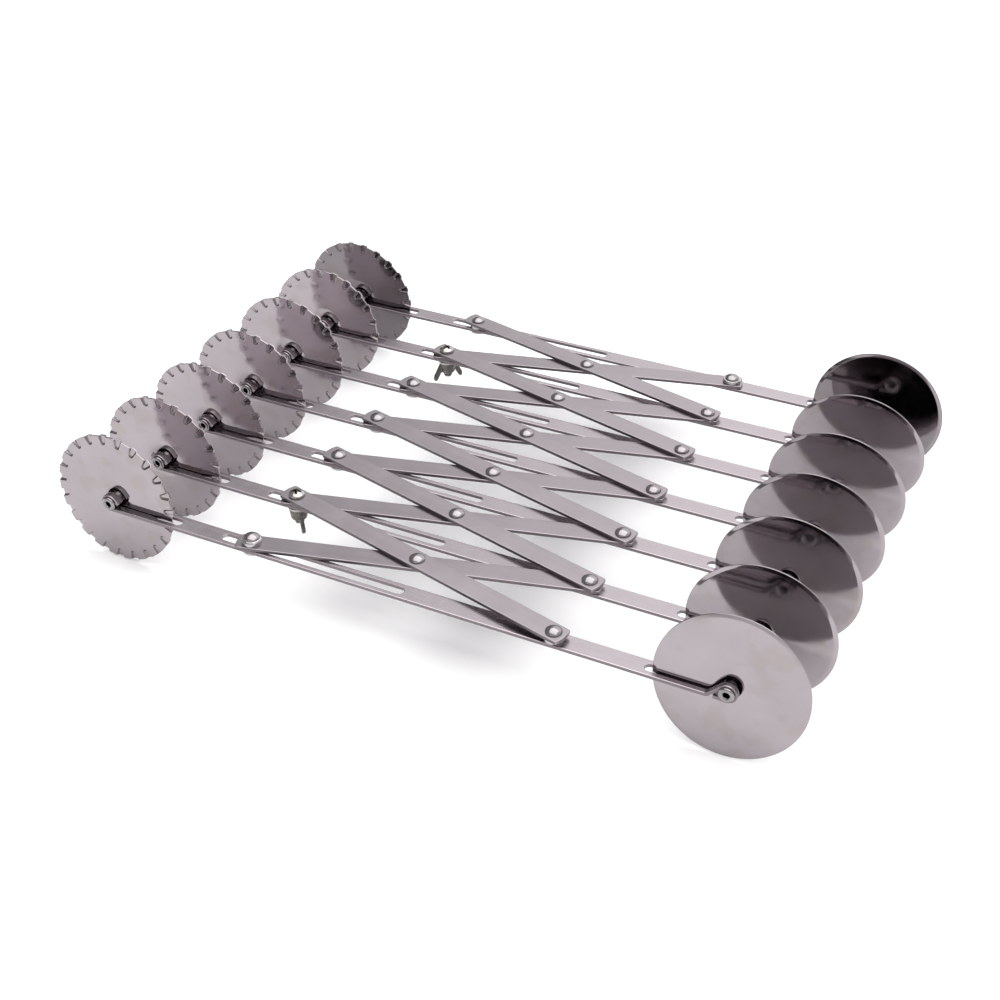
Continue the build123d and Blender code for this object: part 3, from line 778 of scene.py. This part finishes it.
slide_bottom = WASH_Z - 1.0 - 0.05
for k in range(1, ARMS):
    alo, ahi = box_mm(f"arm_{k}")
    blo, bhi = box_mm(f"arm_{k + 1}")
    y, y2 = (alo.y + ahi.y) / 2, (blo.y + bhi.y) / 2
    body = f"lower_link_{k}"
    name, where = f"middle_rivet_{k}", at(0, (y + y2) / 2)
    if mid_data is None:
        o = spin(name, pivot_profile(LOW_Z, 0, HEAD_Z, foot=True), M_RIVET, where)
        mid_data = o.data
    else:
        o = place(name, mid_data, where)
    settle(o, body, "rivet_steel", f"link_rivets_{k}")
    if k in LOCKED:
        continue
    if k == 1:
        slo, shi = box_mm("tall_spacer_1_left")
        o = spin("slide_rivet_1", pivot_profile(slide_bottom, TAIL_H, shi.z), M_RIVET, at(-SPAN_H, y))
    elif slide_data is None:
        o = spin(f"slide_rivet_{k}", pivot_profile(slide_bottom, TAIL_H, HEAD_Z), M_RIVET, at(-SPAN_H, y))
        slide_data = o.data
    else:
        o = place(f"slide_rivet_{k}", slide_data, at(-SPAN_H, y))
    settle(o, body, "rivet_steel", f"link_rivets_{k}")
    if washer_data is None:
        o = spin(f"slide_washer_{k}", washer_profile(4.0, HOLE_R, WASH_Z - 1.0, WASH_Z), M_WASHER, at(-SPAN_H, y))
        washer_data = o.data
    else:
        o = place(f"slide_washer_{k}", washer_data, at(-SPAN_H, y))
    settle(o, body, "washer_steel", f"link_rivets_{k}")

alo, ahi = box_mm("arm_7")
y7 = (alo.y + ahi.y) / 2
settle(place("slide_rivet_7", slide_data, at(-SPAN_H, y7)), "upper_link_6", "rivet_steel", "end_slide_rivet_7")
settle(place("slide_washer_7", washer_data, at(-SPAN_H, y7)), "upper_link_6", "washer_steel", "end_slide_rivet_7")

for nd, body, chamfer in (("tall_spacer_1_left", "lower_link_1", 0.42), ("spacer_1_right", "arm_1", 0.14),
                          ("spacer_7_left", "upper_link_6", 0.14), ("spacer_7_right", "arm_7", 0.24)):
    lo, hi = box_mm(nd)
    c = (lo + hi) / 2
    ro = (hi.x - lo.x) / 2
    if chamfer > 0.3:
        prof = rounded([(HOLE_R, c.z), (HOLE_R, lo.z), (ro, lo.z), (ro, hi.z - 0.62), (ro - 0.62, hi.z), (HOLE_R, hi.z), (HOLE_R, c.z + 0.001)], 0.16, 4)
    else:
        prof = rounded([(HOLE_R, c.z), (HOLE_R, lo.z), (ro, lo.z), (ro, hi.z), (HOLE_R, hi.z), (HOLE_R, c.z + 0.001)], chamfer * 1.6, 4)
    o = spin(nd.replace("spacer", "ring"), prof, M_WASHER, at(c.x, c.y), 96)
    settle(o, body, "washer_steel", nd)


# ------------------------------------------------------------------ clamping screws and wing nuts
def screw_mesh(bottom, top, pitch=0.7):
    """Head, plain shank and a real helical thread on the lower part."""
    seg = 48
    bm = lathe([(PIN_R, top - 3.2), (PIN_R, top), (SCREW_HEAD_R - 0.08, top), (SCREW_HEAD_R - 0.01, top + 0.07), (SCREW_HEAD_R, top + 0.2),
                (SCREW_HEAD_R, top + 0.62), (SCREW_HEAD_R - 0.03, top + 0.80)] + cap_points(SCREW_HEAD_R - 0.09, top + 0.93, top + SCREW_HEAD_H, 14), seg)
    z_hi = top - 3.2
    rows, per = [], 9
    n = int((z_hi - bottom) / pitch * per)
    depth = 0.34
    for i in range(n + 1):
        z = bottom + (z_hi - bottom) * i / n
        row = []
        for j in range(seg):
            ph = (z / pitch - j / seg) % 1.0
            tri = 1 - abs(2 * ph - 1)
            cut = depth * max(0.0, min(1.0, (0.88 - tri) / 0.78))
            cut *= min(1.0, (z_hi - z) / 0.5)
            r = PIN_R - cut
            lead = min(1.0, (z - bottom) / 0.55)
            r = r * (0.74 + 0.26 * lead) if lead < 1 else r
            row.append(bm.verts.new((r * math.cos(2 * math.pi * j / seg), r * math.sin(2 * math.pi * j / seg), z)))
        rows.append(row)
    for a, b in zip(rows, rows[1:]):
        for j in range(seg):
            bm.faces.new((a[j], a[(j + 1) % seg], b[(j + 1) % seg], b[j]))
    tip = bm.verts.new((0, 0, bottom))
    for j in range(seg):
        bm.faces.new((rows[0][(j + 1) % seg], rows[0][j], tip))
    return bm


def cross_cutter(top):
    """The driver's shape: two tapering blades that cross, with a pointed floor."""
    bm = bmesh.new()
    for turn in (0, 90):
        m = Matrix.Rotation(math.radians(turn), 3, "Z")
        rings = []
        for z, length, width in ((top + 0.6, 5.3, 1.36), (top, 4.7, 1.26), (top - 0.9, 3.0, 0.96), (top - 1.45, 1.3, 0.6)):
            rings.append([bm.verts.new(m @ Vector((sx * length / 2, sy * width / 2, z))) for sx, sy in ((-1, -1), (1, -1), (1, 1), (-1, 1))])
        for a, b in zip(rings, rings[1:]):
            for i in range(4):
                bm.faces.new((a[i], a[(i + 1) % 4], b[(i + 1) % 4], b[i]))
        bm.faces.new(rings[0])
        bm.faces.new(list(reversed(rings[-1])))
    bmesh.ops.recalc_face_normals(bm, faces=bm.faces)
    return bm


def apply_modifiers(o):
    dg = bpy.context.evaluated_depsgraph_get()
    me = bpy.data.meshes.new_from_object(o.evaluated_get(dg))
    old = o.data
    o.modifiers.clear()
    o.data = me
    bpy.data.meshes.remove(old)
    for p in me.polygons:
        p.use_smooth = True
    return o


def scratch_object(name, bm):
    me = bpy.data.meshes.new(name)
    bmesh.ops.scale(bm, vec=(MM, MM, MM), verts=bm.verts)
    bm.to_mesh(me)
    bm.free()
    o = bpy.data.objects.new(name, me)
    bpy.context.scene.collection.objects.link(o)
    return o


slo, shi = box_mm("clamp_screw_2")
screw = make_object("clamping_screw_2", screw_mesh(slo.z, HEAD_Z), M_SCREW, None, weighted=False)
cutter = scratch_object("cutter_cross", cross_cutter(HEAD_Z + SCREW_HEAD_H))
b = screw.modifiers.new("recess", "BOOLEAN")
b.operation, b.solver, b.object, b.use_self = "DIFFERENCE", "EXACT", cutter, True
bpy.context.view_layer.update()
apply_modifiers(screw)
bpy.data.objects.remove(cutter)
screw.data.materials.clear()
screw.data.materials.append(M_SCREW)
screw.data.materials.append(M_RECESS_SHADE)
ball = (SCREW_HEAD_R ** 2 + (SCREW_HEAD_H - 0.93) ** 2) / (2 * (SCREW_HEAD_H - 0.93))
# painted shade: faces inside the cross recess, below the dome, take the near-black recess material, index 1
for f in screw.data.polygons:
    x, y, z = f.center / MM
    rho = math.hypot(x, y)
    dome = HEAD_Z + SCREW_HEAD_H - ball + math.sqrt(max(0.0, ball * ball - rho * rho))
    f.material_index = 1 if rho < 2.5 and HEAD_Z + 0.3 < z < dome - 0.10 else 0
ed = screw.modifiers.new("edges", "BEVEL")
ed.width, ed.segments, ed.limit_method, ed.angle_limit = 0.00006, 2, "ANGLE", math.radians(50)
apply_modifiers(screw)
screw_data = screw.data
for k in LOCKED:
    slo, shi = box_mm(f"clamp_screw_{k}")
    where = at((slo.x + shi.x) / 2, (slo.y + shi.y) / 2) @ Matrix.Rotation(math.radians(RECESS_TURN[k]), 4, "Z")
    if k == 2:
        o = screw
        o.matrix_world = where
        w = o.modifiers.new("normals", "WEIGHTED_NORMAL")
        w.weight = 70
    else:
        o = place(f"clamping_screw_{k}", screw_data, where)
    settle(o, f"lower_link_{k}", "screw_steel", f"clamp_screw_{k}")
    lo, hi = box_mm(f"clamp_washer_{k}")
    c = (lo + hi) / 2
    o = spin(f"locking_washer_{k}", washer_profile((hi.x - lo.x) / 2, HOLE_R, lo.z, hi.z), M_WASHER, at(c.x, c.y))
    settle(o, f"clamp_washer_{k}", "washer_steel", f"clamp_washer_{k}")


def wing_mesh(top):
    """One wing as a thin plate with fat rounded edges, in its own upright plane."""
    pts = [(2.2, -0.9), (4.2, -1.05), (5.0, -2.6), (6.1, -4.7), (7.15, -6.7), (7.35, -7.8), (7.25, -8.7), (6.75, -9.3), (6.1, -9.36), (5.45, -8.8), (4.6, -7.2), (3.7, -5.5), (3.0, -4.9), (2.2, -4.9)]
    pts.reverse()
    bm = plate([(pts, [0.62] * len(pts))], -0.86, 0.86, 4)
    bmesh.ops.rotate(bm, verts=bm.verts, cent=(0, 0, 0), matrix=Matrix.Rotation(math.radians(90), 3, "X"))
    bmesh.ops.translate(bm, verts=bm.verts, vec=(0, 0, top))
    return bm


lo, hi = box_mm("wing_nut_2")
nut_top = hi.z
hub = lathe(rounded([(0, nut_top), (3.95, nut_top), (3.95, nut_top - 0.9), (3.38, nut_top - 5.15), (0, nut_top - 5.15)], 0.28, 4), 64)
nut = scratch_object("wing_nut_blank", hub)
for turn in (0, 180):
    bm = wing_mesh(nut_top)
    bmesh.ops.rotate(bm, verts=bm.verts, cent=(0, 0, 0), matrix=Matrix.Rotation(math.radians(turn), 3, "Z"))
    part = scratch_object(f"wing_blank_{turn}", bm)
    j = nut.modifiers.new("join", "BOOLEAN")
    j.operation, j.solver, j.object = "UNION", "EXACT", part
    bpy.context.view_layer.update()
    apply_modifiers(nut)
    bpy.data.objects.remove(part)
r = nut.modifiers.new("cast", "REMESH")
r.mode, r.voxel_size = "VOXEL", 0.00014
sm = nut.modifiers.new("soft", "SMOOTH")
sm.factor, sm.iterations = 0.5, 10
apply_modifiers(nut)
# the threaded bore is cut after the casting is softened, so its mouth stays crisp
bore = scratch_object("bore_cutter", lathe([(0, nut_top - 6.5), (2.02, nut_top - 6.5), (2.02, nut_top - 5.05), (2.02, nut_top + 1), (0, nut_top + 1)], 48))
j = nut.modifiers.new("bore", "BOOLEAN")
j.operation, j.solver, j.object = "DIFFERENCE", "EXACT", bore
bpy.context.view_layer.update()
apply_modifiers(nut)
bpy.data.objects.remove(bore)
nut.data.materials.clear()
nut.data.materials.append(M_NUT)
nut_data = nut.data
for k in LOCKED:
    wlo, whi = box_mm(f"clamp_washer_{k}")
    c = (wlo + whi) / 2
    where = at(c.x, c.y) @ Matrix.Rotation(math.radians(WING_ANGLE[k]), 4, "Z")
    if k == 2:
        o = nut
        o.name = "wing_nut_body_2"
        o.matrix_world = where
    else:
        o = bpy.data.objects.new("wing_nut_body_6", nut_data)
        bpy.context.scene.collection.objects.link(o)
        o.matrix_world = where
    settle(o, f"wing_nut_{k}", "nickel_nut", f"wing_nut_{k}")


# ------------------------------------------------------------------ floor, light, camera
floor_bm = bmesh.new()
bmesh.ops.create_grid(floor_bm, x_segments=1, y_segments=1, size=4.0)
fme = bpy.data.meshes.new("floor")
floor_bm.to_mesh(fme)
floor_bm.free()
floor = bpy.data.objects.new("floor", fme)
bpy.context.scene.collection.objects.link(floor)
floor.location.z = CAD_BOX[0].z - 0.0002
m, nt, bsdf = new_material("pale_floor")
bsdf.inputs["Base Color"].default_value = (0.95, 0.95, 0.952, 1)
bsdf.inputs["Roughness"].default_value = 0.9
bsdf.inputs["Specular IOR Level"].default_value = 0.1
fme.materials.append(m)

world = bpy.data.worlds.new("studio")
bpy.context.scene.world = world
world.use_nodes = True
nt = world.node_tree
nt.nodes.clear()
out = nt.nodes.new("ShaderNodeOutputWorld")
bg = nt.nodes.new("ShaderNodeBackground")
nt.links.new(bg.outputs[0], out.inputs[0])
co = nt.nodes.new("ShaderNodeTexCoord")


def lobe(direction, inner, outer):
    """1 inside a cone of inner degrees about direction, falling to 0 at outer degrees."""
    d = Vector(direction).normalized()
    dot = nt.nodes.new("ShaderNodeVectorMath")
    dot.operation = "DOT_PRODUCT"
    dot.inputs[1].default_value = d
    nt.links.new(co.outputs["Generated"], dot.inputs[0])
    r = nt.nodes.new("ShaderNodeMapRange")
    r.interpolation_type = "SMOOTHERSTEP"
    r.inputs["From Min"].default_value = math.cos(math.radians(outer))
    r.inputs["From Max"].default_value = math.cos(math.radians(inner))
    nt.links.new(dot.outputs["Value"], r.inputs["Value"])
    return r.outputs["Result"]


def mix_value(a, b_value, fac):
    m = nt.nodes.new("ShaderNodeMix")
    m.data_type = "FLOAT"
    nt.links.new(fac, m.inputs[0])
    if isinstance(a, float):
        m.inputs[2].default_value = a
    else:
        nt.links.new(a, m.inputs[2])
    m.inputs[3].default_value = b_value
    return m.outputs[0]


side = nt.nodes.new("ShaderNodeSeparateXYZ")
nt.links.new(co.outputs["Generated"], side.inputs[0])
drift = nt.nodes.new("ShaderNodeMapRange")
drift.interpolation_type = "SMOOTHSTEP"
drift.inputs["From Min"].default_value, drift.inputs["From Max"].default_value = -0.62, -0.10
drift.inputs["To Min"].default_value, drift.inputs["To Max"].default_value = 0.42, 1.02
nt.links.new(side.outputs[0], drift.inputs["Value"])
level = drift.outputs["Result"]                                        # quieter towards the left
level = mix_value(level, 1.75, lobe((0.12, 0.74, 0.60), 16, 40))       # soft box behind, to the right
level = mix_value(level, 0.95, lobe((0.36, -0.74, 0.56), 24, 52))      # an even card in front
nt.links.new(level, bg.inputs["Strength"])
bg.inputs["Color"].default_value = (1.0, 0.995, 1.0, 1)


def area(name, location, target, size, power, colour=(1, 1, 1)):
    data = bpy.data.lights.new(name, "AREA")
    data.shape = "RECTANGLE"
    data.size, data.size_y = size
    data.energy = power
    data.color = colour
    o = bpy.data.objects.new(name, data)
    bpy.context.scene.collection.objects.link(o)
    o.location = location
    o.rotation_mode = "QUATERNION"
    o.rotation_quaternion = (Vector(target) - Vector(location)).to_track_quat("-Z", "Y")
    return o


area("overhead_soft", (0.0, 0.05, 1.15), (0, 0, 0), (1.6, 1.3), 15.0)

cam_data = bpy.data.cameras.new("camera")
cam = bpy.data.objects.new("camera", cam_data)
bpy.context.scene.collection.objects.link(cam)
cam_data.lens, cam_data.sensor_width = 53.0, 36.0
cam_data.clip_start, cam_data.clip_end = 0.01, 50
right = Vector((0.89740, 0.44108, -0.01129)).normalized()
look = Vector((-0.36556, 0.72893, -0.57881)).normalized()
up = right.cross(look).normalized()
rot = Matrix((right, up, -look)).transposed()
cam.matrix_world = Matrix.Translation((0.22957, -0.46821, 0.37457)) @ rot.to_4x4()
bpy.context.scene.camera = cam
bpy.context.scene.view_settings.view_transform = "Standard"
bpy.context.scene.view_settings.look = "None"
